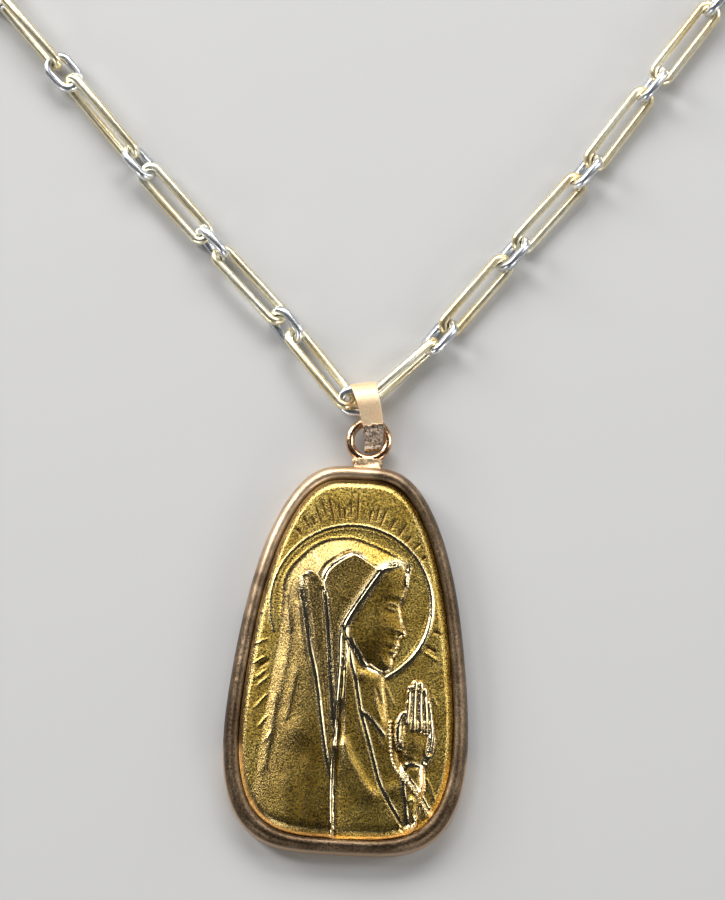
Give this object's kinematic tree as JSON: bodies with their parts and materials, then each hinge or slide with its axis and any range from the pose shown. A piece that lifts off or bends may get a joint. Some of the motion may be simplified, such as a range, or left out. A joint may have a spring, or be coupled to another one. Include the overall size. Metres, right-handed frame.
{
  "type": "religious medal pendant on its neck chain",
  "caption": "Gold devotional medal with a praying veiled figure in relief, framed, hung by a strap bail on a paperclip chain, lying flat.",
  "frame": {"origin": "middle of the medal's flat back, on the surface that it lies on", "axes": "+Y to the medal's top and the chain, +Z out of its face, +X to the figure's face side"},
  "size_m": [0.1321, 0.2016, 0.003],
  "materials": {
    "yellow_gold": "struck yellow gold, satin with polished ridges",
    "rose_gold_polished": "polished rose gold with small dents",
    "rose_gold_matte": "brushed matte rose gold",
    "two_tone_gold": "yellow gold and white gold links, polished",
    "clasp_gold": "polished yellow gold"
  },
  "bodies": {
    "root": {"medal_plate": "yellow_gold", "bezel_frame": "rose_gold_polished", "bail": "rose_gold_matte", "chain_strand": "two_tone_gold", "clasp": "clasp_gold"}
  },
  "joints": []
}
